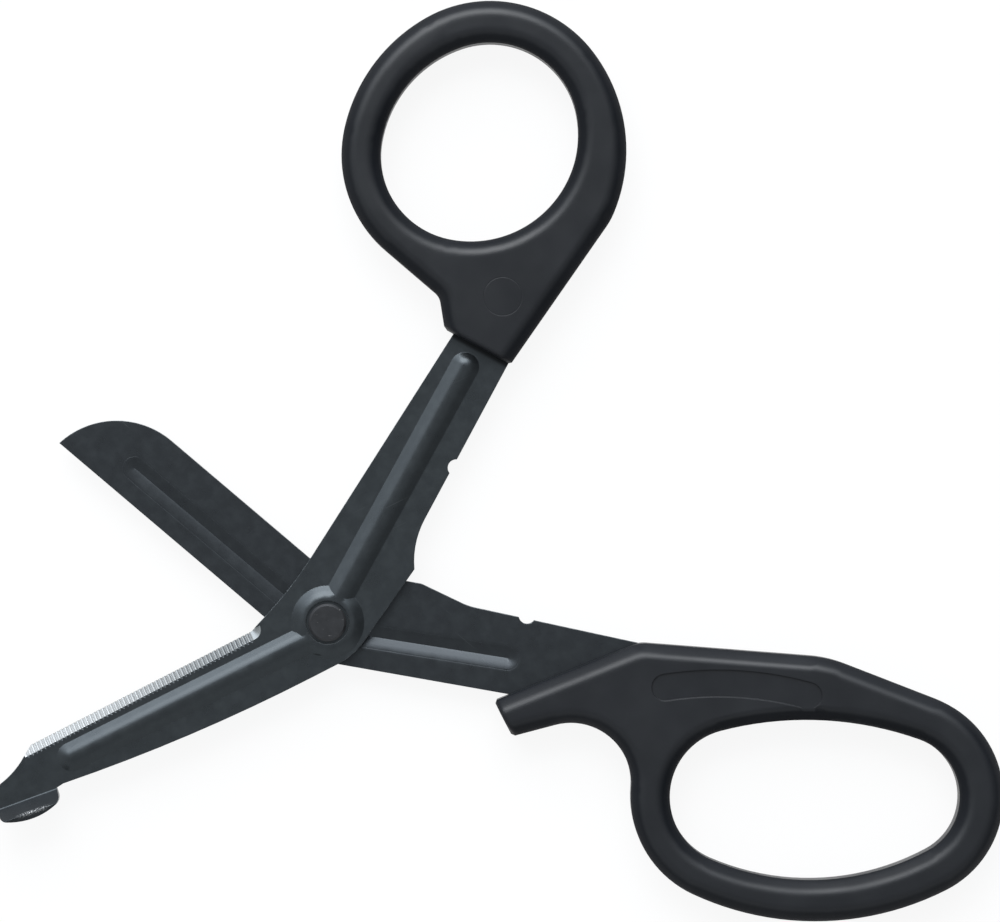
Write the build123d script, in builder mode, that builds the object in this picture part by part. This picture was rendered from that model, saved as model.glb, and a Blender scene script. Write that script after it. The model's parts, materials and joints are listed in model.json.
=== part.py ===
from build123d import *
import os
from math import asin, atan, cos, degrees, radians, sin, sqrt, tan

os.makedirs("parts", exist_ok=True)

# Bandage scissors with pressed steel blades and moulded handles, lying flat and part open.
# Lengths are in millimetres and angles in degrees. Each half is drawn from the pivot: x runs
# from the blade's tip towards the handle along the cutting edge, and y runs across the blade.
# A shank is bent from its blade, and is drawn along and across its own direction.

# Place of the pivot and turn of each half
pivot_x = -30.38
pivot_y = -28.64
lower_turn = 27.2
upper_turn = -40.3
shank_bend = 30.3

# Sheet steel and its pressed ribs
sheet = 1.5
blade_gap = 0.1
rib_width = 5.1
rib_height = 1.1
rib_flank = 35
rib_crown = 0.95
boss_width = 13.0
boss_height = 1.3

# Rivet and its seat
rivet_radius = 2.0
pivot_clearance = 0.05
head_radius = 3.35
head_height = 1.1
head_bevel = 0.35
seat_radius = 3.85
seat_depth = 0.4
tail_radius = 2.9
tail_height = 0.9
tail_bevel = 0.5

# Ground edges and the serrations of the lower blade
bevel_width = 1.5
edge_land = 0.2
bevel_run_out = 0.3
tooth_pitch = 0.826
flute_width = 0.7
flute_depth = 0.25

# Lower blade: serrated edge, curved spine and blunt foot
lower_edge = 4.75
lower_edge_tip = -57.0
lower_edge_heel = -12.8
lower_heel = (-10.9, 5.5)
lower_spine = -7.45
spine_straight = -2.0
spine_curve = -6.8
spine_end = (-54.9, -4.0)
foot_heel = (-56.3, -4.15)
foot_toe = (-67.4, -2.75)
nose_middle = (-66.85, -0.5)
nose_top = (-64.9, 1.05)
throat_middle = (-61.4, 2.1)
throat_end = (-58.8, 3.55)
foot_bend = 50
foot_bend_radius = 0.3
foot_height = 3.45
foot_sweep = 12.0
foot_corner = 1.6
lower_rib_tip = (-51.4, -0.45)
lower_rib_root = (0, -1.1)

# Lower shank, along and across
lower_left = 8.7
lower_left_start = 8.3
lower_shoulder = 57.0
lower_neck_right = -2.3
lower_ear_root = (24.7, -4.7)
lower_ear = (16.2, -7.95)
lower_belly = (2.0, -7.3)
lower_shank_rib_root = (0, 0.45)
lower_shank_rib = (51.4, 3.85)
lower_tang_end = 69.0
lower_tang_right = 0.0
lower_tang_left = 7.0

# Upper blade: plain edge and rounded point
upper_edge = -6.65
upper_spine = 6.55
upper_tip_radius = 15.0
upper_tip_centre = -42.2
upper_edge_heel = -6.0
upper_rib_tip = (-44.0, -1.4)
upper_rib_root = (0, -1.4)

# Upper shank, along and across
upper_low = -7.08
upper_low_round = 15.0
upper_ear_side = 9.6
upper_ear = 15.2
upper_ear_round = 1.5
upper_ear_fall = 10.0
upper_ear_root = (24.1, 7.12)
upper_shoulder = 57.0
upper_neck_top = 5.85
upper_spine_round = 8.0
upper_shank_rib_root = (0, -1.4)
upper_shank_rib = (32.5, -0.8)
upper_tang_end = 72.0
upper_tang_low = -2.0
upper_tang_high = 5.0

# Stop notches, and the holes that key the tangs into the handles
lower_notch = 35.4
upper_notch = 34.7
notch_radius = 1.5
notch_out = 0.6
key_radius = 1.8
key_inset = 5.5

# Handles
handle_thickness = 9.0
rim_share = 0.5
end_bevel = 0.5
end_spare = 1.0

# Thumb ring: two end arcs joined by side arcs
thumb_near = (59.8, 62.5)
thumb_near_radius = 15.2
thumb_far = (65.6, 64.5)
thumb_far_radius = 15.6
thumb_outer_swell = 5.8
thumb_inner_swell = 3.5
thumb_near_width = 6.95
thumb_far_width = 7.4
thumb_outline_swell = 7.0
thumb_shoulder = (44.1, 42.4)
thumb_shoulder_round = 3.0
thumb_front_left = (42.3, 36.9)
thumb_front_right = (49.8, 25.9)
thumb_heel_reach = 26.7
thumb_heel_bearing = -63.9
thumb_heel_start = 10
thumb_heel_round = 12.0

# Finger loop: two end arcs joined by side arcs, with a spur in front
finger_near = (75.6, 23.5)
finger_near_radius = 12.1
finger_far = (97.4, 42.0)
finger_far_radius = 10.8
finger_upper_swell = 47.9
finger_lower_swell = 32.1
finger_near_width = 6.95
finger_far_width = 7.75
finger_outline_swell = 32.45
finger_notch_radius = 10.7
finger_notch_bearing = 215.6
spur_front = (31.6, 8.5)
spur_back = (38.1, 5.8)
finger_shoulder = (44.5, 33.0)
finger_shoulder_round = 6.0
finger_crest = (71.9, 52.8)
finger_crest_round = 22.0
panel_start = (53.1, 30.0)
panel_middle = (61.6, 38.1)
panel_end = (73.4, 45.3)
panel_height = 4.8
panel_depth = 0.25

# Frames: each half's plane lies between the two blades, with the pivot as its origin
contact_height = handle_thickness / 2
pivot = Vector(pivot_x, pivot_y, contact_height)
lower_frame = Plane(pivot, x_dir=(1, 0, 0), z_dir=(0, 0, 1)).rotated((0, 0, lower_turn))
upper_frame = Plane(pivot, x_dir=(1, 0, 0), z_dir=(0, 0, 1)).rotated((0, 0, upper_turn))
pivot_axis = Axis(pivot, (0, 0, 1))
inner_face = blade_gap / 2
outer_face = inner_face + sheet
boss_top = outer_face + boss_height
flank_turn = tan(radians(rib_flank / 2))
flank_break = flank_turn - tan(radians(rib_flank / 4))
recess_narrower = 2 * sheet * flank_turn
rib_flat = rib_width / 2 - rib_height / tan(radians(rib_flank))
rib_round = rib_crown * rib_flat / flank_turn
recess_round = rib_round - sheet
handle_round = rim_share * min(thumb_near_width, thumb_far_width, finger_near_width, finger_far_width)
shank_way = (cos(radians(shank_bend)), sin(radians(shank_bend)))
shank_back = (-shank_way[0], -shank_way[1])


def on_shank(along, across):
    # a point of a half's plan from its place along and across the bent shank
    return (
        along * shank_way[0] - across * shank_way[1],
        along * shank_way[1] + across * shank_way[0],
    )


def toward(centre, angle, reach):
    # the point at a bearing and distance from a centre
    return (centre[0] + reach * cos(radians(angle)), centre[1] + reach * sin(radians(angle)))


def bearing(start, end):
    # unit direction from one point to another
    run = Vector(*end) - Vector(*start)
    return run.normalized()


def tangent_point(point, centre, radius, hand):
    # where a line from a point touches a circle, on the left (1) or right (-1) of its centre
    reach = Vector(*centre) - Vector(*point)
    spread = degrees(asin(radius / reach.length))
    line = reach.rotate(Axis.Z, hand * spread) * cos(radians(spread))
    touch = Vector(*point) + line
    return (touch.X, touch.Y)


def side_centre(near, near_radius, far, far_radius, swell, hand):
    # centre of a side arc, wider than both end arcs of an oval, that runs smoothly into them
    side_radius = max(near_radius, far_radius) + swell
    run = Vector(*far) - Vector(*near)
    to_near = side_radius - near_radius
    to_far = side_radius - far_radius
    along = (to_near**2 - to_far**2 + run.length**2) / (2 * run.length)
    across = sqrt(to_near**2 - along**2)
    unit = run.normalized()
    centre = Vector(*near) + unit * along - unit.rotate(Axis.Z, 90) * hand * across
    return (centre.X, centre.Y)


def beyond(centre, through, radius):
    # the point of an arc that lies on the line from a neighbouring arc's centre
    way = bearing(centre, through)
    return (through[0] + way.X * radius, through[1] + way.Y * radius)


def arc_about(centre, start, end):
    # the short arc about a centre
    first = Vector(*start) - Vector(*centre)
    last = Vector(*end) - Vector(*centre)
    middle = Vector(*centre) + (first + last).normalized() * first.length
    return ThreePointArc(start, (middle.X, middle.Y), end)


def across_plane(frame, along, level):
    # a plane square to the cutting edge: its x runs across the blade and its y runs up
    start = frame.from_local_coords((along, 0, level))
    return Plane(start, x_dir=frame.y_dir, z_dir=frame.x_dir)


def half_section(width, height):
    # half of a pressed section, from its middle line to its foot, rooted in the sheet
    foot = width / 2
    crown = foot - height / tan(radians(rib_flank))
    with BuildSketch() as half:
        with BuildLine():
            Polyline(
                (0, -sheet / 2),
                (foot, -sheet / 2),
                (foot, 0),
                (crown, height),
                (0, height),
                close=True,
            )
        make_face()
    return half.sketch


def half_rib(width, soft):
    # half of a rib's section, with its crown rounded
    with BuildSketch() as half:
        add(half_section(width, rib_height))
        fillet(half.vertices().group_by(Axis.Y)[-1].sort_by(Axis.X)[-1], soft)
    return half.sketch


def half_boss(width, soft):
    # half of the boss's section, with the corner of its crown broken
    with BuildSketch() as half:
        add(half_section(width, boss_height))
        chamfer(half.vertices().group_by(Axis.Y)[-1].sort_by(Axis.X)[-1], soft * flank_break)
    return half.sketch


def pressed_rib(frame, way, level, start, end, width, soft):
    # a round-ended rib between two points, standing out of the sheet at a level
    first = frame.from_local_coords((start[0], start[1], way * level))
    last = frame.from_local_coords((end[0], end[1], way * level))
    outward = frame.z_dir * way
    run = (last - first).normalized()
    with BuildPart() as rib:
        for middle in (first, last):
            with BuildSketch(Plane(middle, x_dir=outward.cross(run), z_dir=run)) as quarter:
                add(half_rib(width, soft))
            revolve(quarter.sketch, axis=Axis(middle, outward))
        with BuildSketch(Plane(first, x_dir=outward.cross(run), z_dir=run)) as section:
            add(half_rib(width, soft))
            mirror(about=Plane.YZ)
        extrude(section.sketch, amount=(last - first).length)
    return rib.part


def pressed_boss(frame, way, level, width, soft):
    # the round boss about the pivot
    middle = frame.from_local_coords((0, 0, way * level))
    outward = frame.z_dir * way
    with BuildPart() as boss:
        with BuildSketch(Plane(middle, x_dir=outward.cross(frame.x_dir), z_dir=frame.x_dir)):
            add(half_boss(width, soft))
        revolve(axis=Axis(middle, outward))
    return boss.part


def pressing(frame, way, level, ribs, narrower, soft):
    # the boss about the pivot and the ribs that run out of it, as one pressed form
    with BuildPart() as form:
        add(pressed_boss(frame, way, level, boss_width - narrower, soft))
        for start, end in ribs:
            add(pressed_rib(frame, way, level, start, end, rib_width - narrower, soft))
    return form.part


def ground_bevel(frame, way, edge, tip, heel):
    # the wedge that grinding takes off a blade's outer side, with a rounded run-out at the heel
    reach = bevel_width + bevel_run_out
    slope = (sheet - edge_land) / bevel_width
    spare = rib_height
    turn_y = edge + way * bevel_run_out
    with BuildPart() as bevel:
        with BuildSketch(across_plane(frame, heel, 0)) as wedge:
            with BuildLine():
                Polyline(
                    (turn_y, way * (outer_face - slope * reach)),
                    (turn_y, way * (outer_face + spare)),
                    (turn_y - way * (reach + spare / slope), way * (outer_face + spare)),
                    close=True,
                )
            make_face()
        extrude(wedge.sketch, amount=tip - heel)
        heel_axis = Axis(frame.from_local_coords((heel, turn_y, 0)), frame.z_dir * way)
        revolve(wedge.sketch, axis=heel_axis, revolution_arc=90)
    return bevel.part


def soften_rims(handle, end_at, end_way):
    # round the rims of a handle's flats, behind its cut end, by a bevel with both edges broken
    eighth = tan(radians(90 / 4))
    sixteenth = tan(radians(90 / 8))
    bevel = handle_round * (1 - eighth)
    broken = handle_round * (eighth - sixteenth)
    flats = handle.faces().filter_by(Axis.Z)
    chamfer(flats.edges().filter_by(lambda rim: (rim.center() - end_at).dot(end_way) > 0), bevel)
    levels = handle.edges().filter_by(lambda rim: (rim.center() - end_at).dot(end_way) > 0).group_by(Axis.Z)
    chamfer(levels[0] + levels[1] + levels[-2] + levels[-1], broken)


# Blunt foot: a tab bent up from the end of the lower blade
foot_start = lower_frame.from_local_coords((foot_heel[0], foot_heel[1], inner_face))
foot_end = lower_frame.from_local_coords((foot_toe[0], foot_toe[1], inner_face))
foot_line = (foot_end - foot_start).normalized()
foot_out = lower_frame.z_dir.cross(foot_line)
foot_outside = foot_bend_radius + sheet
foot_centre = (0, foot_outside)
foot_slope = Vector(cos(radians(foot_bend)), sin(radians(foot_bend)))
foot_square = foot_slope.rotate(Axis.Z, 90)
foot_reach = foot_outside * sin(radians(foot_bend)) + foot_height * foot_slope.X

with BuildPart() as foot:
    with BuildSketch(Plane(foot_start, x_dir=foot_out, z_dir=foot_line)):
        with BuildLine():
            outside = CenterArc(foot_centre, foot_outside, -90, foot_bend)
            outer_run = Line(outside @ 1, outside @ 1 + foot_slope * foot_height)
            rim = Line(outer_run @ 1, outer_run @ 1 + foot_square * sheet)
            inside = CenterArc(foot_centre, foot_bend_radius, -90, foot_bend)
            Line(rim @ 1, inside @ 1)
            root = sheet / 4
            Polyline(inside @ 0, (-root, sheet), (-root, 0), outside @ 0)
        make_face()
    extrude(amount=(foot_end - foot_start).length)
    sweep_in = foot_reach - foot_sweep
    sweep_middle = (foot_start + foot_end) / 2 + foot_out * sweep_in
    with BuildSketch(Plane(sweep_middle, x_dir=foot_line, z_dir=lower_frame.z_dir)) as footprint:
        Circle(foot_sweep)
        Rectangle((foot_end - foot_start).length, 2 * foot_sweep, mode=Mode.INTERSECT)
        fillet(footprint.vertices().group_by(Axis.Y)[-1], foot_corner)
    extrude(amount=handle_thickness, both=True, mode=Mode.INTERSECT)

# Lower blade: serrated, in front
lower_shank_line = (on_shank(*lower_shank_rib_root), on_shank(*lower_shank_rib))
lower_ribs = ((lower_rib_tip, lower_rib_root), lower_shank_line)
bevel_slope = degrees(atan((sheet - edge_land) / bevel_width))
tooth_count = int((lower_edge_heel - throat_end[0]) / tooth_pitch)
flute_middle = lower_frame.from_local_coords(
    (
        (lower_edge_heel + throat_end[0]) / 2,
        lower_edge - bevel_width / 2,
        outer_face - (sheet - edge_land) / 2,
    )
)
flute_fall = lower_frame.z_dir * sin(radians(bevel_slope))
flute_way = lower_frame.y_dir * cos(radians(bevel_slope)) - flute_fall

with BuildPart() as lower_blade:
    with BuildSketch(lower_frame.offset(inner_face)):
        with BuildLine():
            edge_line = Line((lower_edge_tip, lower_edge), (lower_edge_heel, lower_edge))
            Line(edge_line @ 1, lower_heel)
            left_start = on_shank(lower_left_start, lower_left)
            TangentArc(left_start, lower_heel, tangent=shank_back)
            Polyline(
                left_start,
                on_shank(lower_shoulder, lower_left),
                on_shank(lower_shoulder, lower_tang_left),
                on_shank(lower_tang_end, lower_tang_left),
                on_shank(lower_tang_end, lower_tang_right),
                on_shank(lower_shoulder, lower_tang_right),
                on_shank(lower_shoulder, lower_neck_right),
                on_shank(*lower_ear_root),
            )
            right_way = bearing(on_shank(lower_shoulder, lower_neck_right), on_shank(*lower_ear_root))
            TangentArc(on_shank(*lower_ear_root), on_shank(*lower_ear), tangent=right_way)
            Line(on_shank(*lower_ear), on_shank(*lower_belly))
            TangentArc((spine_straight, lower_spine), on_shank(*lower_belly), tangent=(1, 0))
            Line((spine_straight, lower_spine), (spine_curve, lower_spine))
            TangentArc((spine_curve, lower_spine), spine_end, tangent=(-1, 0))
            Polyline(spine_end, foot_heel, foot_toe)
            ThreePointArc(foot_toe, nose_middle, nose_top)
            ThreePointArc(nose_top, throat_middle, throat_end)
            Line(throat_end, edge_line @ 0)
        make_face()
        notch_share = (lower_notch - lower_ear_root[0]) / (lower_shoulder - lower_ear_root[0])
        notch_side = lower_ear_root[1] + notch_share * (lower_neck_right - lower_ear_root[1])
        with Locations(on_shank(lower_notch, notch_side - notch_out)):
            Circle(notch_radius, mode=Mode.SUBTRACT)
        key_side = (lower_tang_left + lower_tang_right) / 2
        with Locations(on_shank(lower_tang_end - key_inset, key_side)):
            Circle(key_radius, mode=Mode.SUBTRACT)
    extrude(amount=sheet)
    add(foot.part)
    add(pressing(lower_frame, 1, outer_face, lower_ribs, 0, rib_round))
    lower_recess = pressing(lower_frame, 1, inner_face, lower_ribs, recess_narrower, recess_round)
    add(lower_recess, mode=Mode.SUBTRACT)
    add(
        ground_bevel(lower_frame, 1, lower_edge, throat_end[0], lower_edge_heel),
        mode=Mode.SUBTRACT,
    )
    with BuildSketch(Plane(flute_middle, x_dir=lower_frame.x_dir, z_dir=flute_way)):
        with GridLocations(tooth_pitch, tooth_pitch, tooth_count, 1):
            Polygon((flute_width / 2, 0), (0, flute_depth), (-flute_width / 2, 0), (0, -flute_depth))
    extrude(amount=bevel_width, both=True, mode=Mode.SUBTRACT)
    with BuildSketch(lower_frame.offset(boss_top)):
        Circle(seat_radius)
    extrude(amount=-seat_depth, mode=Mode.SUBTRACT)
    with BuildSketch(lower_frame):
        Circle(rivet_radius + pivot_clearance)
    extrude(amount=boss_top, mode=Mode.SUBTRACT)
lower_blade.part.label = "lower_blade"

# Upper blade: plain, behind
upper_shank_line = (on_shank(*upper_shank_rib_root), on_shank(*upper_shank_rib))
upper_ribs = ((upper_rib_tip, upper_rib_root), upper_shank_line)

with BuildPart() as upper_blade:
    with BuildSketch(upper_frame.offset(-inner_face)) as upper_plan:
        with BuildLine():
            tip_centre = (upper_tip_centre, upper_spine - upper_tip_radius)
            tip_rise = upper_edge - tip_centre[1]
            tip_end = upper_tip_centre - sqrt(upper_tip_radius**2 - tip_rise**2)
            arc_about(tip_centre, (upper_tip_centre, upper_spine), (tip_end, upper_edge))
            low_start_along = (upper_edge - upper_low * shank_way[0]) / shank_way[1]
            low_start = on_shank(low_start_along, upper_low)
            ear_start_along = (upper_spine - upper_ear_side * shank_way[0]) / shank_way[1]
            ear_start = on_shank(ear_start_along, upper_ear_side)
            Polyline(
                (tip_end, upper_edge),
                low_start,
                on_shank(upper_shoulder, upper_low),
                on_shank(upper_shoulder, upper_tang_low),
                on_shank(upper_tang_end, upper_tang_low),
                on_shank(upper_tang_end, upper_tang_high),
                on_shank(upper_shoulder, upper_tang_high),
                on_shank(upper_shoulder, upper_neck_top),
                on_shank(*upper_ear_root),
                on_shank(upper_ear, upper_ear_side),
                ear_start,
                (upper_tip_centre, upper_spine),
            )
        make_face()
        fillet(upper_plan.vertices().sort_by_distance(low_start)[0], upper_low_round)
        fillet(upper_plan.vertices().sort_by_distance(ear_start)[0], upper_spine_round)
        ear_tip = on_shank(upper_ear, upper_ear_side)
        fillet(upper_plan.vertices().sort_by_distance(ear_tip)[0], upper_ear_round)
        ear_root = on_shank(*upper_ear_root)
        fillet(upper_plan.vertices().sort_by_distance(ear_root)[0], upper_ear_fall)
        notch_share = (upper_notch - upper_ear_root[0]) / (upper_shoulder - upper_ear_root[0])
        notch_side = upper_ear_root[1] + notch_share * (upper_neck_top - upper_ear_root[1])
        with Locations(on_shank(upper_notch, notch_side + notch_out)):
            Circle(notch_radius, mode=Mode.SUBTRACT)
        key_side = (upper_tang_low + upper_tang_high) / 2
        with Locations(on_shank(upper_tang_end - key_inset, key_side)):
            Circle(key_radius, mode=Mode.SUBTRACT)
    extrude(amount=-sheet)
    add(pressing(upper_frame, -1, outer_face, upper_ribs, 0, rib_round))
    upper_recess = pressing(upper_frame, -1, inner_face, upper_ribs, recess_narrower, recess_round)
    add(upper_recess, mode=Mode.SUBTRACT)
    add(
        ground_bevel(upper_frame, -1, upper_edge, tip_end - bevel_width, upper_edge_heel),
        mode=Mode.SUBTRACT,
    )
    with BuildSketch(upper_frame):
        Circle(rivet_radius)
    extrude(amount=-boss_top, mode=Mode.SUBTRACT)
upper_blade.part.label = "upper_blade"

# Rivet: flat head in its seat in front, tail peened over behind
head_base = boss_top - seat_depth + pivot_clearance

with BuildPart() as pivot_rivet:
    with BuildSketch(Plane(pivot, x_dir=(1, 0, 0), z_dir=(0, -1, 0))) as rivet_section:
        with BuildLine():
            Polyline(
                (0, -boss_top - tail_height),
                (tail_radius, -boss_top - tail_height),
                (tail_radius, -boss_top),
                (rivet_radius, -boss_top),
                (rivet_radius, head_base),
                (head_radius, head_base),
                (head_radius, head_base + head_height),
                (0, head_base + head_height),
                close=True,
            )
        make_face()
        chamfer(rivet_section.vertices().group_by(Axis.Y)[-1].sort_by(Axis.X)[-1], head_bevel)
        chamfer(rivet_section.vertices().group_by(Axis.Y)[0].sort_by(Axis.X)[-1], tail_bevel)
    revolve(axis=pivot_axis)
pivot_rivet.part.label = "pivot_rivet"

# Thumb handle: a round ring on the lower tang
thumb_near_outer = thumb_near_radius + thumb_near_width
thumb_far_outer = thumb_far_radius + thumb_far_width
thumb_outline_centre = side_centre(
    thumb_near, thumb_near_outer, thumb_far, thumb_far_outer, thumb_outline_swell, 1
)
thumb_outer_centre = side_centre(
    thumb_near, thumb_near_radius, thumb_far, thumb_far_radius, thumb_outer_swell, 1
)
thumb_inner_centre = side_centre(
    thumb_near, thumb_near_radius, thumb_far, thumb_far_radius, thumb_inner_swell, -1
)
thumb_front_way = bearing(thumb_front_right, thumb_front_left).rotate(Axis.Z, -90)
thumb_front_at = Vector(*thumb_front_right)

with BuildPart() as thumb_handle:
    with BuildSketch(lower_frame) as thumb_plan:
        with BuildLine():
            spare_left = Vector(*thumb_front_left) + bearing(thumb_shoulder, thumb_front_left) * end_spare
            heel = toward(thumb_far, thumb_heel_bearing, thumb_heel_reach)
            heel_way = bearing(heel, thumb_front_right)
            spare_right = Vector(*thumb_front_right) + heel_way * end_spare
            ring_touch = tangent_point(thumb_shoulder, thumb_near, thumb_near_outer, 1)
            Polyline(heel, spare_right, spare_left, thumb_shoulder, ring_touch)
            near_top = beyond(thumb_outline_centre, thumb_near, thumb_near_outer)
            far_top = beyond(thumb_outline_centre, thumb_far, thumb_far_outer)
            blend_start = toward(thumb_far, thumb_heel_start, thumb_far_outer)
            arc_about(thumb_near, ring_touch, near_top)
            arc_about(thumb_outline_centre, near_top, far_top)
            far_arc = arc_about(thumb_far, far_top, blend_start)
            TangentArc(blend_start, heel, tangent=far_arc % 1)
        make_face()
        fillet(thumb_plan.vertices().sort_by_distance(heel)[0], thumb_heel_round)
        fillet(thumb_plan.vertices().sort_by_distance(thumb_shoulder)[0], thumb_shoulder_round)
        with BuildLine():
            near_top = beyond(thumb_outer_centre, thumb_near, thumb_near_radius)
            far_top = beyond(thumb_outer_centre, thumb_far, thumb_far_radius)
            near_low = beyond(thumb_inner_centre, thumb_near, thumb_near_radius)
            far_low = beyond(thumb_inner_centre, thumb_far, thumb_far_radius)
            arc_about(thumb_near, near_low, near_top)
            arc_about(thumb_outer_centre, near_top, far_top)
            arc_about(thumb_far, far_top, far_low)
            arc_about(thumb_inner_centre, far_low, near_low)
        make_face(mode=Mode.SUBTRACT)
    extrude(amount=handle_thickness / 2, both=True)
    front_at = lower_frame.from_local_coords((thumb_front_at.X, thumb_front_at.Y, 0))
    front_way = lower_frame.x_dir * thumb_front_way.X + lower_frame.y_dir * thumb_front_way.Y
    soften_rims(thumb_handle, front_at, front_way)
    split(bisect_by=Plane(front_at, z_dir=front_way), keep=Keep.TOP)
    chamfer(thumb_handle.faces().sort_by(Axis(front_at, front_way))[0].edges(), end_bevel)
    add(lower_blade.part, mode=Mode.SUBTRACT)
thumb_handle.part.label = "thumb_handle"

# Finger handle: a long loop on the upper tang, with a spur for the first finger
finger_near_outer = finger_near_radius + finger_near_width
finger_far_outer = finger_far_radius + finger_far_width
finger_outline_centre = side_centre(
    finger_near, finger_near_outer, finger_far, finger_far_outer, finger_outline_swell, -1
)
finger_lower_centre = side_centre(
    finger_near, finger_near_radius, finger_far, finger_far_radius, finger_lower_swell, -1
)
finger_upper_centre = side_centre(
    finger_near, finger_near_radius, finger_far, finger_far_radius, finger_upper_swell, 1
)
finger_notch = toward(finger_near, finger_notch_bearing, finger_near_outer + finger_notch_radius)
spur_way = bearing(spur_front, spur_back).rotate(Axis.Z, 90)
spur_at = Vector(*spur_front)

with BuildPart() as finger_handle:
    with BuildSketch(upper_frame) as finger_plan:
        with BuildLine():
            notch_touch = tangent_point(spur_back, finger_notch, finger_notch_radius, 1)
            spare_back = Vector(*spur_back) + bearing(notch_touch, spur_back) * end_spare
            spare_front = Vector(*spur_front) + bearing(finger_shoulder, spur_front) * end_spare
            crest_touch = tangent_point(finger_crest, finger_far, finger_far_outer, 1)
            Polyline(
                notch_touch, spare_back, spare_front, finger_shoulder, finger_crest, crest_touch
            )
            notch_end = toward(finger_near, finger_notch_bearing, finger_near_outer)
            near_low = beyond(finger_outline_centre, finger_near, finger_near_outer)
            far_low = beyond(finger_outline_centre, finger_far, finger_far_outer)
            arc_about(finger_notch, notch_touch, notch_end)
            arc_about(finger_near, notch_end, near_low)
            arc_about(finger_outline_centre, near_low, far_low)
            far_bearing = bearing(finger_near, finger_far)
            far_end = Vector(*finger_far) + far_bearing * finger_far_outer
            arc_about(finger_far, far_low, (far_end.X, far_end.Y))
            arc_about(finger_far, (far_end.X, far_end.Y), crest_touch)
        make_face()
        fillet(finger_plan.vertices().sort_by_distance(finger_shoulder)[0], finger_shoulder_round)
        fillet(finger_plan.vertices().sort_by_distance(finger_crest)[0], finger_crest_round)
        with BuildLine():
            near_top = beyond(finger_upper_centre, finger_near, finger_near_radius)
            far_top = beyond(finger_upper_centre, finger_far, finger_far_radius)
            near_low = beyond(finger_lower_centre, finger_near, finger_near_radius)
            far_low = beyond(finger_lower_centre, finger_far, finger_far_radius)
            arc_about(finger_near, near_low, near_top)
            arc_about(finger_upper_centre, near_top, far_top)
            arc_about(finger_far, far_top, far_low)
            arc_about(finger_lower_centre, far_low, near_low)
        make_face(mode=Mode.SUBTRACT)
    extrude(amount=handle_thickness / 2, both=True)
    spur_end_at = upper_frame.from_local_coords((spur_at.X, spur_at.Y, 0))
    spur_end_way = upper_frame.x_dir * spur_way.X + upper_frame.y_dir * spur_way.Y
    soften_rims(finger_handle, spur_end_at, spur_end_way)
    split(bisect_by=Plane(spur_end_at, z_dir=spur_end_way), keep=Keep.TOP)
    chamfer(finger_handle.faces().sort_by(Axis(spur_end_at, spur_end_way))[0].edges(), end_bevel)
    with BuildSketch(upper_frame.offset(handle_thickness / 2)):
        with BuildLine():
            panel_line = ThreePointArc(panel_start, panel_middle, panel_end)
        SlotArc(panel_line, panel_height)
    extrude(amount=-panel_depth, mode=Mode.SUBTRACT)
    add(upper_blade.part, mode=Mode.SUBTRACT)
finger_handle.part.label = "finger_handle"

export_step(lower_blade.part, "parts/lower_blade.step")
export_step(upper_blade.part, "parts/upper_blade.step")
export_step(pivot_rivet.part, "parts/pivot_rivet.step")
export_step(thumb_handle.part, "parts/thumb_handle.step")
export_step(finger_handle.part, "parts/finger_handle.step")
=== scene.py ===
import json
from math import atan, cos, pi, radians, sin, tan
import bpy
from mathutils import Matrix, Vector


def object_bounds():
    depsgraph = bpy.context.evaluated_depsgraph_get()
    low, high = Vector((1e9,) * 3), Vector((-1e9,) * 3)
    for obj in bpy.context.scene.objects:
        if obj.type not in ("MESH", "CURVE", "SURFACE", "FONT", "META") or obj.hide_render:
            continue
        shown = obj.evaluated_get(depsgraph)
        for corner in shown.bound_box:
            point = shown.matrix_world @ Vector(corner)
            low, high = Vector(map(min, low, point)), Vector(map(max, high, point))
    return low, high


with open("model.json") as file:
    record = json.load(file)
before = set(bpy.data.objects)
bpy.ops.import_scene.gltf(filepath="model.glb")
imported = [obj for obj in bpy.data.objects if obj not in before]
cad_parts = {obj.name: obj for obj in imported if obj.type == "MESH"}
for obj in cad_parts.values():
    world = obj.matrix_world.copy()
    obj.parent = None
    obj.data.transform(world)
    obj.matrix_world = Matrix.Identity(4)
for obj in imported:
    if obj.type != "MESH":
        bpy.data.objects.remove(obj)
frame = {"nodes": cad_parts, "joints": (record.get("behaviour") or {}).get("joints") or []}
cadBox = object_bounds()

# everything below is in metres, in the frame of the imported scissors
mm = 0.001
nodes = frame["nodes"]
pivot = Vector(frame["joints"][0]["pos_m"])
lowerTurn = 27.2    # degrees from the frame's x axis to each half's cutting edge
upperTurn = -40.3
print("scissors loaded:", ", ".join(sorted(nodes)))


# small helpers for building shader trees

def addNode(tree, kind, inputs=None, **settings):
    node = tree.nodes.new(kind)
    for key, value in settings.items():
        setattr(node, key, value)
    for key, value in (inputs or {}).items():
        if isinstance(value, bpy.types.NodeSocket):
            tree.links.new(value, node.inputs[key])
        else:
            node.inputs[key].default_value = value
    return node


def newFinish(name):
    finish = bpy.data.materials.new(name)
    finish.use_nodes = True
    tree = finish.node_tree
    tree.nodes.clear()
    shader = addNode(tree, "ShaderNodeBsdfPrincipled")
    addNode(tree, "ShaderNodeOutputMaterial", {"Surface": shader.outputs["BSDF"]})
    return finish, tree, shader


def calc(tree, operation, first, second=0.0):
    return addNode(tree, "ShaderNodeMath", {0: first, 1: second}, operation=operation).outputs[0]


def product(tree, *factors):
    total = factors[0]
    for factor in factors[1:]:
        total = calc(tree, "MULTIPLY", total, factor)
    return total


def remainder(tree, share):    # what a share leaves of the whole
    return calc(tree, "SUBTRACT", 1.0, share)


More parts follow.
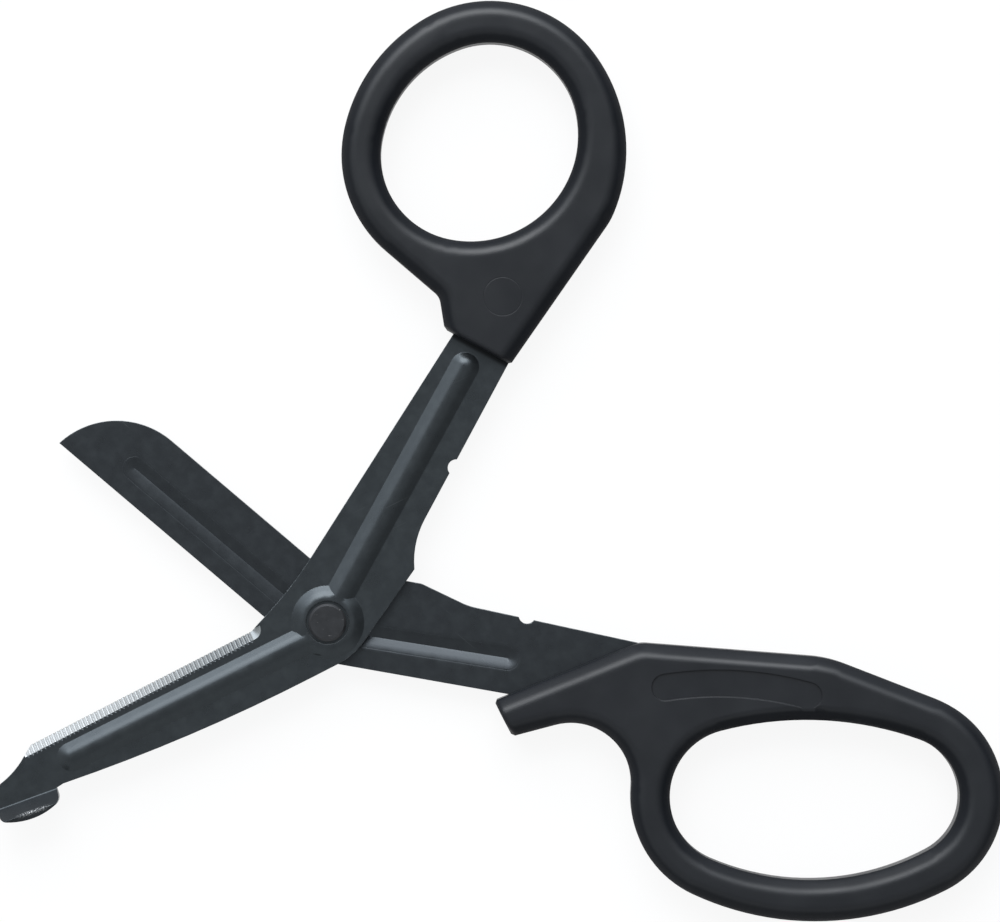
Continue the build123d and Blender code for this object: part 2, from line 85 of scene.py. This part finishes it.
def fade(tree, value, low, high, start=0.0, end=1.0):    # smooth step from start to end
    inputs = {"Value": value, "From Min": low, "From Max": high, "To Min": start, "To Max": end}
    node = addNode(tree, "ShaderNodeMapRange", inputs, interpolation_type="SMOOTHSTEP")
    return node.outputs["Result"]


def grain(tree, place, scale=1.0, detail=3.0, roughness=0.55):
    inputs = {"Vector": place, "Scale": scale, "Detail": detail, "Roughness": roughness}
    return addNode(tree, "ShaderNodeTexNoise", inputs).outputs["Fac"]


def mixColour(tree, amount, first, second):
    inputs = {"Factor": amount, 6: first, 7: second}    # sockets 6 and 7 take the two colours
    return addNode(tree, "ShaderNodeMix", inputs, data_type="RGBA").outputs[2]


def dent(tree, height, strength, depth, normal):
    inputs = {"Height": height, "Strength": strength, "Distance": depth, "Normal": normal}
    return addNode(tree, "ShaderNodeBump", inputs).outputs["Normal"]


def placeOn(tree, turn):    # place along, across and above a half, measured from the pivot
    where = addNode(tree, "ShaderNodeTexCoord").outputs["Object"]
    inputs = {"Vector": where, "Location": pivot, "Rotation": (0, 0, radians(turn))}
    return addNode(tree, "ShaderNodeMapping", inputs, vector_type="TEXTURE").outputs["Vector"]


def stretched(tree, place, scale, turn):
    inputs = {"Vector": place, "Scale": scale, "Rotation": (0, 0, radians(turn))}
    return addNode(tree, "ShaderNodeMapping", inputs).outputs["Vector"]


def combine(tree, operation, first, second=(0, 0, 0), result="Vector"):
    node = addNode(tree, "ShaderNodeVectorMath", {0: first, 1: second}, operation=operation)
    return node.outputs[result]


def dot(tree, first, second):
    return combine(tree, "DOT_PRODUCT", first, second, "Value")


def inPlan(tree, place, point):    # step from a point to a place, with the height left out
    return combine(tree, "MULTIPLY", combine(tree, "SUBTRACT", place, (*point, 0)), (1, 1, 0))


def apart(tree, place, point):    # distance from a point, in plan
    return combine(tree, "LENGTH", inPlan(tree, place, point), result="Value")


def beside(tree, place, point, way):    # how far a place lies from a line, on the side way points to
    return dot(tree, combine(tree, "SUBTRACT", place, (*point, 0)), (*way, 0))


def fromLine(tree, place, start, end):    # distance in plan from a straight stretch
    run = Vector((*end, 0)) - Vector((*start, 0))
    shift = inPlan(tree, place, start)
    share = dot(tree, shift, run / run.length_squared)
    share = addNode(tree, "ShaderNodeMapRange", {"Value": share}).outputs["Result"]    # within 0 to 1
    step = addNode(tree, "ShaderNodeVectorMath", {0: run, "Scale": share}, operation="SCALE")
    nearest = step.outputs["Vector"]
    return combine(tree, "LENGTH", combine(tree, "SUBTRACT", shift, nearest), result="Value")


def leaning(tree, way=(0, 0, 1)):    # how far the surface faces a direction, 1 when square to it
    return dot(tree, addNode(tree, "ShaderNodeTexCoord").outputs["Normal"], way)


def turningEdges(tree, radius, low, high):    # where the surface turns within a short reach
    eased = addNode(tree, "ShaderNodeBevel", {"Radius": radius}, samples=6).outputs["Normal"]
    plain = addNode(tree, "ShaderNodeNewGeometry").outputs["Normal"]
    return fade(tree, remainder(tree, dot(tree, eased, plain)), low, high), eased


# coated blades: dark satin coating, with hair scratches and edges rubbed thin
# a scale is grains to a metre, and a range is where a grain begins to show and shows in full

coatLook = {
    "rubbed": (0.52, 0.54, 0.56, 1),
    "metallic": 0.8,
    "roughness": 0.29,
    "roughSpread": (-0.03, 0.06),
    "roughRange": (0.2, 0.8),
    "mottleScale": 420,
    "mottleRange": (0.35, 0.75),
    "hair": ((60, 2600, 60), 8),    # stretch and turn of the scratches along the blade
    "hairRange": (0.72, 0.77),
    "crossHair": ((90, 1900, 90), 74),    # and of those across it
    "crossHairRange": (0.75, 0.80),
    "patchScale": 55,
    "patchRange": (0.45, 0.70),
    "scratchShare": 0.12,
    "edgeReach": 0.18 * mm,
    "edgeRange": (0.05, 0.35),
    "edgeWear": 0.75,
    "chipScale": 1300,
    "chipRange": (0.40, 0.62),
    "blastScale": 7000,    # blasted grain under the coating
    "blastDent": (0.06, 0.02 * mm),    # strength and depth
}


def coatedSteel(name, turn, bladeLook, extras):
    look = coatLook
    finish, tree, shader = newFinish(name)
    place = placeOn(tree, turn)
    mottle = grain(tree, place, look["mottleScale"], detail=5, roughness=0.6)
    mottled = fade(tree, mottle, *look["mottleRange"])
    coat = mixColour(tree, mottled, bladeLook["coat"], bladeLook["coatWorn"])

    # hair scratches, mostly along the blade and in worn patches
    hair = grain(tree, stretched(tree, place, *look["hair"]), detail=2, roughness=0.4)
    hair = fade(tree, hair, *look["hairRange"])
    crossHair = grain(tree, stretched(tree, place, *look["crossHair"]), detail=2, roughness=0.4)
    crossHair = fade(tree, crossHair, *look["crossHairRange"])
    scratch = calc(tree, "MAXIMUM", hair, crossHair)
    patch = fade(tree, grain(tree, place, look["patchScale"], detail=2), *look["patchRange"])
    scratch = product(tree, scratch, patch, look["scratchShare"])
    coat = mixColour(tree, scratch, coat, look["rubbed"])

    # coating rubbed thin on the sheared edges
    edge, eased = turningEdges(tree, look["edgeReach"], *look["edgeRange"])
    chip = fade(tree, grain(tree, place, look["chipScale"]), *look["chipRange"])
    colour = mixColour(tree, product(tree, edge, chip, look["edgeWear"]), coat, look["rubbed"])
    smooth, dull = [look["roughness"] + spread for spread in look["roughSpread"]]
    rough = fade(tree, mottle, *look["roughRange"], smooth, dull)
    blasted = grain(tree, place, look["blastScale"], detail=2)
    normal = dent(tree, blasted, *look["blastDent"], eased)

    colour, rough, normal = extras(tree, place, colour, rough, normal)
    shader.inputs["Metallic"].default_value = look["metallic"]
    tree.links.new(colour, shader.inputs["Base Color"])
    tree.links.new(rough, shader.inputs["Roughness"])
    tree.links.new(normal, shader.inputs["Normal"])
    return finish


# upper blade: grooves pressed from this side, so their shoulders roll over softly

upperLook = {
    "coat": (0.044, 0.049, 0.054, 1),
    "coatWorn": (0.050, 0.056, 0.061, 1),
    "grooves": (    # ends of each groove's middle line
        ((-44.0 * mm, -1.4 * mm), (0, -1.4 * mm)),
        ((0.7 * mm, -1.2 * mm), (28.5 * mm, 15.7 * mm)),
    ),
    "rolls": ((0.23, 1), (0.37, 2)),    # each groove's slope at that line, and the power of its fall
    "rollReach": 2.6 * mm,    # how far from the line the roll starts
    "rollSteps": 40,
    "foot": 2.08 * mm,    # where the pressed section starts to fall
    "bend": 0.88 * mm,    # and where its flank bends level
    "flank": radians(35),
}


def rollHeights(steepest, power):    # turns a pressed section into a soft roll, from its reach inwards
    look = upperLook
    reach = look["rollReach"]
    steps = look["rollSteps"]
    heights = [(1.0, 0.0)]
    for step in range(steps):
        away = reach * (1 - (step + 0.5) / steps)
        slope = 0.0
        if away < look["foot"]:
            slope = look["flank"] * min(1, away / look["bend"])
        rolled = atan(steepest * (1 - (away / reach) ** power))
        rise = tan(slope - rolled) / cos(slope) / steps
        heights.append((1 - (step + 1) / steps, heights[-1][1] + rise))
    return heights


def softShoulders(tree, place, colour, rough, normal):
    look = upperLook
    above = calc(tree, "GREATER_THAN", leaning(tree), 0.0)
    for groove, roll in zip(look["grooves"], look["rolls"]):
        away = calc(tree, "DIVIDE", fromLine(tree, place, *groove), look["rollReach"])
        curve = addNode(tree, "ShaderNodeFloatCurve", {"Value": calc(tree, "MINIMUM", away, 1.0)})
        curve.mapping.use_clip = False
        points = curve.mapping.curves[0].points
        heights = rollHeights(*roll)[::2]    # every second one is enough for the curve
        points[0].location = heights[-1]
        points[1].location = heights[0]
        for point in heights[1:-1]:
            points.new(*point)
        curve.mapping.update()
        height = product(tree, curve.outputs["Value"], above)
        normal = dent(tree, height, 1.0, look["rollReach"], normal)
    return colour, rough, normal


# lower blade: bare ground teeth with painted shade on their backs, a scraped foot with painted shade
# inside, a tool mark, and a painted shadow beside the thumb handle

lowerLook = {
    "coat": (0.051, 0.058, 0.063, 1),
    "coatWorn": (0.058, 0.066, 0.071, 1),

    # foot
    "footHeel": (-56.3 * mm, -4.15 * mm),    # a point of the foot's bend
    "footWay": (-0.125, -0.992),
    "footEase": 0.4 * mm,
    "footTilt": (0.95, 0.80),
    "footShade": (0.012, 0.014, 0.017, 1),
    "footShadeShare": 0.6,
    "scraped": (0.72, 0.73, 0.74, 1),
    "scrapeShare": 0.85,
    "scrapeBand": (2.25 * mm, 2.45 * mm),    # out from the bend
    "scrapeEase": (0.25 * mm, 0.6 * mm),
    "scrapeMiddle": -61.6 * mm,
    "scrapeReach": (3.6 * mm, 1.2 * mm),    # along the rim, where it ends and is full
    "speck": ((3300, 5200, 3300), -8),
    "speckRange": (0.47, 0.62),

    # tool mark beside the rivet, and a band along the thumb handle's cut end, both darkened with
    # painted shade
    "paintedShade": (0.008, 0.009, 0.010, 1),
    "toolMark": (-4.2 * mm, -4.3 * mm),
    "toolMarkSize": (1.1 * mm, 0.22 * mm),
    "toolMarkTurn": -38,
    "toolMarkRange": (1.0, 0.3),
    "toolMarkShare": 0.6,
    "toolMarkDent": (0.4, -0.08 * mm),    # strength and depth
    "handleEnd": (49.8 * mm, 25.9 * mm),    # a point of the thumb handle's cut end
    "handleEndWay": (-0.826, -0.563),
    "handleShadowReach": (1.1 * mm, 0.367 * mm),
    "handleShadowShare": 0.85,

    # ground teeth
    "bareTip": (0.62, 0.635, 0.64, 1),
    "bareHeel": (0.315, 0.33, 0.335, 1),
    "bareRoughness": 0.27,
    "tipToHeel": (-50 * mm, -14 * mm),    # the stretch over which the teeth turn darker
    "paintedToothShade": (0.16, 0.17, 0.18, 1),
    "backShade": (0.25, 0.6),    # how much painted shade a tooth's back gets, at the tip and the heel
    "backTilt": (0.15, 0.35),
    "wheel": ((5200, 500, 500), -4),    # marks left by the wheel
    "wheelRange": (0.3, 0.7),
    "wheelShare": 0.3,
    "cutTilt": (0.97, 0.93),    # lean at which the steel counts as ground
    "leastTilt": 0.15,    # walls steeper than this stay coated
    "bevelInner": 3.22 * mm,    # across the blade, where the flutes have run out
    "bevelTip": -59.0 * mm,
    "bevelHeel": -12.8 * mm,
    "runOutCentre": (-12.8 * mm, 5.05 * mm),
    "runOutReach": 1.9 * mm,
}


def footShadeAndWear(tree, place, along, colour):    # inner face given painted shade, rim scraped bright by use
    look = lowerLook
    out = beside(tree, place, look["footHeel"], look["footWay"])
    onTip = calc(tree, "LESS_THAN", along, look["footHeel"][0])
    foot = product(tree, fade(tree, out, 0.0, look["footEase"]), onTip)
    # painted shade on the foot's inner face, stronger where it tilts
    tilted = fade(tree, leaning(tree), *look["footTilt"])
    paintedFootShade = product(tree, foot, tilted, look["footShadeShare"])
    colour = mixColour(tree, paintedFootShade, colour, look["footShade"])

    speck = grain(tree, stretched(tree, place, *look["speck"]), detail=4, roughness=0.7)
    speck = fade(tree, speck, *look["speckRange"])
    first, last = look["scrapeBand"]
    easeIn, easeOut = look["scrapeEase"]
    band = product(tree, fade(tree, out, first - easeIn, first), fade(tree, out, last + easeOut, last))
    away = calc(tree, "ABSOLUTE", calc(tree, "SUBTRACT", along, look["scrapeMiddle"]))
    band = product(tree, band, fade(tree, away, *look["scrapeReach"]), foot)
    return mixColour(tree, product(tree, speck, band, look["scrapeShare"]), colour, look["scraped"])


def markAndHandleShadow(tree, place, colour, normal):    # both darken with painted shade, and only the mark is pressed in
    look = lowerLook
    inputs = {
        "Vector": place,
        "Location": (*look["toolMark"], 0),
        "Rotation": (0, 0, radians(look["toolMarkTurn"])),
        "Scale": (*look["toolMarkSize"], 1),
    }
    markPlace = addNode(tree, "ShaderNodeMapping", inputs, vector_type="TEXTURE").outputs["Vector"]
    mark = fade(tree, apart(tree, markPlace, (0, 0)), *look["toolMarkRange"])
    # painted shadow of the thumb handle on the blade, just off its cut end
    handleEnd = fade(tree, beside(tree, place, look["handleEnd"], look["handleEndWay"]), *look["handleShadowReach"])
    markShade = product(tree, mark, look["toolMarkShare"])
    handleShadow = product(tree, handleEnd, look["handleShadowShare"])
    shade = calc(tree, "MAXIMUM", markShade, handleShadow)
    colour = mixColour(tree, shade, colour, look["paintedShade"])
    return colour, dent(tree, mark, *look["toolMarkDent"], normal)


def bareTeeth(tree, place, along, across, colour, rough):    # wherever the wheel has cut below the flat
    look = lowerLook
    cut = fade(tree, leaning(tree), *look["cutTilt"])
    facing = calc(tree, "GREATER_THAN", leaning(tree), look["leastTilt"])
    inside = calc(tree, "GREATER_THAN", across, look["bevelInner"])
    pastTip = calc(tree, "GREATER_THAN", along, look["bevelTip"])
    beforeHeel = calc(tree, "LESS_THAN", along, look["bevelHeel"])
    strip = product(tree, inside, pastTip, beforeHeel)
    runOut = calc(tree, "LESS_THAN", apart(tree, place, look["runOutCentre"]), look["runOutReach"])
    bareMask = product(tree, cut, facing, calc(tree, "MAXIMUM", strip, runOut))

    toHeel = fade(tree, along, *look["tipToHeel"])
    bare = mixColour(tree, toHeel, look["bareTip"], look["bareHeel"])
    wheel = grain(tree, stretched(tree, place, *look["wheel"]))
    wheel = fade(tree, wheel, *look["wheelRange"], 0.0, look["wheelShare"])
    bare = mixColour(tree, wheel, bare, look["bareHeel"])

    # the back of each tooth faces the handle, and gets painted shade
    toHandle = (cos(radians(lowerTurn)), sin(radians(lowerTurn)), 0)
    back = fade(tree, leaning(tree, toHandle), *look["backTilt"])
    dull = fade(tree, along, *look["tipToHeel"], *look["backShade"])
    dull = product(tree, back, remainder(tree, runOut), dull)
    bare = mixColour(tree, dull, bare, look["paintedToothShade"])

    colour = mixColour(tree, bareMask, colour, bare)
    coatRough = product(tree, rough, remainder(tree, bareMask))
    bareRough = product(tree, bareMask, look["bareRoughness"])
    return colour, calc(tree, "ADD", coatRough, bareRough)


def groundParts(tree, place, colour, rough, normal):
    axes = addNode(tree, "ShaderNodeSeparateXYZ", {"Vector": place}).outputs
    colour = footShadeAndWear(tree, place, axes["X"], colour)
    colour, normal = markAndHandleShadow(tree, place, colour, normal)
    colour, rough = bareTeeth(tree, place, axes["X"], axes["Y"], colour, rough)
    return colour, rough, normal


# rivet: turned head, darker and browner than the blades

rivetLook = {
    "coat": (0.043, 0.044, 0.047, 1),
    "bright": (0.42, 0.41, 0.40, 1),
    "metallic": 0.75,
    "roughness": 0.40,
    "roughSpread": (-0.05, 0.08),
    "cloudScale": 700,
    "cloudRange": (0.3, 0.7),
    "nick": ((900, 3200, 900), 25),    # stretch and turn
    "nickRange": (0.71, 0.76),
    "nickShare": 0.6,
    "edgeReach": 0.12 * mm,
    "edgeRange": (0.05, 0.4),
    "edgeShare": 0.12,
    "ringPitch": 0.11 * mm,
    "ringDent": (0.08, 0.006 * mm),    # strength and depth
}


def turnedSteel(name):
    look = rivetLook
    finish, tree, shader = newFinish(name)
    place = placeOn(tree, 0)
    nick = grain(tree, stretched(tree, place, *look["nick"]), detail=2)
    nick = fade(tree, nick, *look["nickRange"])
    edge, eased = turningEdges(tree, look["edgeReach"], *look["edgeRange"])
    nickWear = product(tree, nick, look["nickShare"])
    worn = calc(tree, "MAXIMUM", nickWear, product(tree, edge, look["edgeShare"]))
    colour = mixColour(tree, worn, look["coat"], look["bright"])
    cloud = grain(tree, place, look["cloudScale"])
    smooth, dull = [look["roughness"] + spread for spread in look["roughSpread"]]
    rough = fade(tree, cloud, *look["cloudRange"], smooth, dull)
    rings = product(tree, apart(tree, place, (0, 0)), 2 * pi / look["ringPitch"])
    normal = dent(tree, calc(tree, "SINE", rings), *look["ringDent"], eased)
    shader.inputs["Metallic"].default_value = look["metallic"]
    tree.links.new(colour, shader.inputs["Base Color"])
    tree.links.new(rough, shader.inputs["Roughness"])
    tree.links.new(normal, shader.inputs["Normal"])
    return finish


# handles: satin black moulding with a fine grain, matter on its side walls, and a mould seam

handleLook = {
    "plastic": (0.0066, 0.0077, 0.0100, 1),
    "paleToneAndRimHighlight": (0.0095, 0.0107, 0.0135, 1),
    "flowScale": 70,    # slow change of shade as the plastic flowed
    "flowRange": (0.3, 0.7),
    "dust": (0.22, 0.22, 0.22, 1),
    "dustScale": 330,
    "dustLot": (0.92, 0.93),    # few cells hold a grain of dust
    "dustSize": (0.035, 0.02),
    "dustShare": 0.6,
    "roughness": 0.37,
    "roughSpread": (-0.04, 0.06),
    "handScale": 120,    # polished by handling in places
    "handRange": (0.25, 0.75),
    "shine": 0.44,
    "sideShine": 0.13,
    "sideTilt": (0.80, 0.95),
    "rimReach": 1.2 * mm,    # how far the rims roll into the flats
    "rimHighlightRange": (0.06, 0.5),
    "rimHighlightShare": 0.25,
    "grainScale": 5200,
    "grainDent": (0.07, 0.03 * mm),    # strength and depth
    "seamWidth": 0.10 * mm,
    "seamDent": (0.5, 0.05 * mm),
    "panelLine": ((53.1 * mm, 30.0 * mm), (73.4 * mm, 45.3 * mm)),    # crisp panel, finger handle
    "panelReach": (5.2 * mm, 6.6 * mm),
    "panelEdge": 0.2 * mm,
    "markCentre": (54.1 * mm, 37.2 * mm),    # plain knock-out ring, thumb handle
    "markRadius": 3.4 * mm,
    "markWidth": 0.12 * mm,
    "markDent": (0.5, -0.04 * mm),
}


def mouldedPlastic(name, turn, thumb):
    look = handleLook
    finish, tree, shader = newFinish(name)
    place = placeOn(tree, turn)
    above = addNode(tree, "ShaderNodeSeparateXYZ", {"Vector": place}).outputs["Z"]
    flow = fade(tree, grain(tree, place, look["flowScale"], detail=4), *look["flowRange"])
    colour = mixColour(tree, flow, look["plastic"], look["paleToneAndRimHighlight"])
    cells = addNode(tree, "ShaderNodeTexVoronoi", {"Vector": place, "Scale": look["dustScale"]})
    lot = addNode(tree, "ShaderNodeSeparateColor", {"Color": cells.outputs["Color"]}).outputs[0]
    lot = fade(tree, lot, *look["dustLot"])
    dust = product(tree, lot, fade(tree, cells.outputs["Distance"], *look["dustSize"]))
    colour = mixColour(tree, product(tree, dust, look["dustShare"]), colour, look["dust"])

    # rims roll into the flats, except round the panel, and are painted paler as a painted highlight
    reach = look["rimReach"]
    if not thumb:
        fromPanel = fromLine(tree, place, *look["panelLine"])
        reach = fade(tree, fromPanel, *look["panelReach"], look["panelEdge"], reach)
    rimHighlight, eased = turningEdges(tree, reach, *look["rimHighlightRange"])
    # painted highlight: rims paler than the flats
    colour = mixColour(tree, product(tree, rimHighlight, look["rimHighlightShare"]), colour, look["paleToneAndRimHighlight"])
    hand = grain(tree, place, look["handScale"])
    smooth, dull = [look["roughness"] + spread for spread in look["roughSpread"]]
    rough = fade(tree, hand, *look["handRange"], smooth, dull)
    level = calc(tree, "ABSOLUTE", dot(tree, eased, (0, 0, 1)))
    shine = fade(tree, level, *look["sideTilt"], look["sideShine"], look["shine"])

    fine = grain(tree, place, look["grainScale"], detail=2)
    normal = dent(tree, fine, *look["grainDent"], eased)
    seam = fade(tree, calc(tree, "ABSOLUTE", above), look["seamWidth"], 0.0)
    normal = dent(tree, seam, *look["seamDent"], normal)
    if thumb:
        fromRing = calc(tree, "SUBTRACT", apart(tree, place, look["markCentre"]), look["markRadius"])
        ring = fade(tree, calc(tree, "ABSOLUTE", fromRing), look["markWidth"], 0.0)
        ring = product(tree, ring, calc(tree, "GREATER_THAN", above, 0.0))
        normal = dent(tree, ring, *look["markDent"], normal)
    tree.links.new(colour, shader.inputs["Base Color"])
    tree.links.new(rough, shader.inputs["Roughness"])
    tree.links.new(shine, shader.inputs["Specular IOR Level"])
    tree.links.new(normal, shader.inputs["Normal"])
    return finish


# smooth shading with crisp creases, the same for all five pieces

shadeLook = {
    "weld": 0.002 * mm,
    "flat": radians(0.5),    # faces this near to level with each other become one
    "crease": radians(30),
    "flatWeight": 92,
}


def dress(nodeName, finish):
    look = shadeLook
    node = nodes[nodeName]
    node.data.materials.clear()
    node.data.materials.append(finish)
    for face in node.data.polygons:
        face.use_smooth = True
    weld = node.modifiers.new("joinFaces", "WELD")
    weld.merge_threshold = look["weld"]
    flats = node.modifiers.new("wholeFlats", "DECIMATE")
    flats.decimate_type = "DISSOLVE"
    flats.angle_limit = look["flat"]
    crease = node.modifiers.new("keepCreases", "EDGE_SPLIT")
    crease.split_angle = look["crease"]
    soft = node.modifiers.new("flatsStayFlat", "WEIGHTED_NORMAL")
    soft.weight = look["flatWeight"]


dress("lower_blade", coatedSteel("coatedSteelGround", lowerTurn, lowerLook, groundParts))
dress("upper_blade", coatedSteel("coatedSteelPlain", upperTurn, upperLook, softShoulders))
dress("pivot_rivet", turnedSteel("turnedRivet"))
dress("thumb_handle", mouldedPlastic("thumbPlastic", lowerTurn, True))
dress("finger_handle", mouldedPlastic("fingerPlastic", upperTurn, False))
print("finishes on")


# pale floor that keeps a faint shadow

floorLook = {
    "size": 24.0,
    "drop": 0.05 * mm,    # just clear of the handles' backs
    "white": (0.93, 0.93, 0.93, 1),
    "glow": (1, 1, 1, 1),
    "glowShare": 0.90,    # how much of what is seen of it is plain white
}


def layFloor():
    look = floorLook
    half = look["size"] / 2
    corners = [(-half, -half, 0), (half, -half, 0), (half, half, 0), (-half, half, 0)]
    mesh = bpy.data.meshes.new("floorSheet")
    mesh.from_pydata(corners, [], [(0, 1, 2, 3)])
    floor = bpy.data.objects.new("floorSheet", mesh)
    floor.location.z = cadBox[0].z - look["drop"]
    bpy.context.scene.collection.objects.link(floor)
    paper = bpy.data.materials.new("whitePaper")
    paper.use_nodes = True
    tree = paper.node_tree
    tree.nodes.clear()
    lit = addNode(tree, "ShaderNodeBsdfDiffuse", {"Color": look["white"]}).outputs["BSDF"]
    glow = addNode(tree, "ShaderNodeEmission", {"Color": look["glow"]}).outputs["Emission"]
    ray = addNode(tree, "ShaderNodeLightPath")
    seen = calc(tree, "MAXIMUM", ray.outputs["Is Camera Ray"], ray.outputs["Is Glossy Ray"])
    seen = calc(tree, "MAXIMUM", seen, ray.outputs["Is Transmission Ray"])
    share = product(tree, seen, look["glowShare"])
    both = addNode(tree, "ShaderNodeMixShader", {0: share, 1: lit, 2: glow})
    addNode(tree, "ShaderNodeOutputMaterial", {"Surface": both.outputs["Shader"]})
    mesh.materials.append(paper)


layFloor()
print("floor laid")


# soft studio: an even room, a tall bright panel above the upper left, dim below it and to the right
# angles are in degrees, and each pair is where something begins and is full

studioLook = {
    "air": (0.92, 0.965, 1.0, 1),
    "room": 0.42,
    "wallShare": 1.45,    # the room is brighter low down
    "wallLift": (70, 35),
    "panel": 2.4,    # what the panel adds
    "panelTint": (0.86, 0.925, 1.0, 1),
    "panelAngle": 100,    # in plan, towards the middle of the panel
    "panelSpread": (66, 26),    # to either side
    "panelFoot": (0, 10),    # lift above level
    "panelTop": (76, 60),
    "skirtShare": 0.25,    # room light left below the panel
    "darkAngle": 10,
    "darkSpread": (62, 22),
    "darkLift": (70, 40),
    "darkShare": 0.25,    # room light left on the dark side
    "boxLift": 40,
    "boxPower": 7.0,
    "boxSize": 0.8,
    "boxReach": 1.1,
}


def compass(angle, lift=0):    # direction towards an angle in plan, lifted above level
    level = cos(radians(lift))
    return Vector((cos(radians(angle)) * level, sin(radians(angle)) * level, sin(radians(lift))))


def lightRoom():
    look = studioLook
    world = bpy.data.worlds.new("softStudio")
    world.use_nodes = True
    bpy.context.scene.world = world
    tree = world.node_tree
    tree.nodes.clear()
    way = addNode(tree, "ShaderNodeTexCoord").outputs["Generated"]
    height = addNode(tree, "ShaderNodeSeparateXYZ", {"Vector": way}).outputs["Z"]
    level = combine(tree, "NORMALIZE", combine(tree, "MULTIPLY", way, (1, 1, 0)))

    def near(angle, spread):    # 1 towards an angle in plan, fading to its sides
        turned = dot(tree, level, compass(angle))
        return fade(tree, turned, *[cos(radians(side)) for side in spread])

    def rise(lifts, start=0.0, end=1.0):    # fades from one lift to another
        return fade(tree, height, *[sin(radians(lift)) for lift in lifts], start, end)

    front = near(look["panelAngle"], look["panelSpread"])
    panel = product(tree, front, rise(look["panelFoot"]), rise(look["panelTop"]), look["panel"])
    skirt = product(tree, front, rise(reversed(look["panelFoot"])), 1 - look["skirtShare"])
    dark = near(look["darkAngle"], look["darkSpread"])
    dark = product(tree, dark, rise(look["darkLift"]), 1 - look["darkShare"])
    wall = rise(look["wallLift"], look["room"], look["room"] * look["wallShare"])
    room = product(tree, remainder(tree, skirt), remainder(tree, dark), wall)
    air = addNode(tree, "ShaderNodeBackground", {"Color": look["air"], "Strength": room})
    glow = addNode(tree, "ShaderNodeBackground", {"Color": look["panelTint"], "Strength": panel})
    both = addNode(tree, "ShaderNodeAddShader", {0: air.outputs[0], 1: glow.outputs[0]})
    addNode(tree, "ShaderNodeOutputWorld", {"Surface": both.outputs["Shader"]})


def hangBox():    # soft box in front of the panel, facing the scissors
    look = studioLook
    box = bpy.data.lights.new("softBox", "AREA")
    box.energy = look["boxPower"]
    box.size = look["boxSize"]
    lamp = bpy.data.objects.new("softBox", box)
    boxWay = compass(look["panelAngle"], look["boxLift"])
    lamp.location = boxWay * look["boxReach"]
    lamp.rotation_euler = boxWay.to_track_quat("Z", "Y").to_euler()
    bpy.context.scene.collection.objects.link(lamp)


lightRoom()
hangBox()
print("studio lit")


# camera straight above, at the photograph's framing

cameraLook = {
    "away": 0.9,
    "viewWidth": 178.0 * mm,    # what the frame spans at the plane between the blades
    "centre": (0.236 * mm, 0.018 * mm),
    "sensor": 36.0,
    "clip": (0.05, 60),
}


def hangCamera():
    look = cameraLook
    lens = bpy.data.cameras.new("overhead")
    lens.sensor_width = look["sensor"]
    lens.lens = look["sensor"] * look["away"] / look["viewWidth"]
    lens.clip_start, lens.clip_end = look["clip"]
    camera = bpy.data.objects.new("overhead", lens)
    camera.location = (*look["centre"], pivot.z + look["away"])
    bpy.context.scene.collection.objects.link(camera)
    bpy.context.scene.camera = camera


hangCamera()
bpy.context.scene.view_settings.view_transform = "Standard"
print("camera hung")
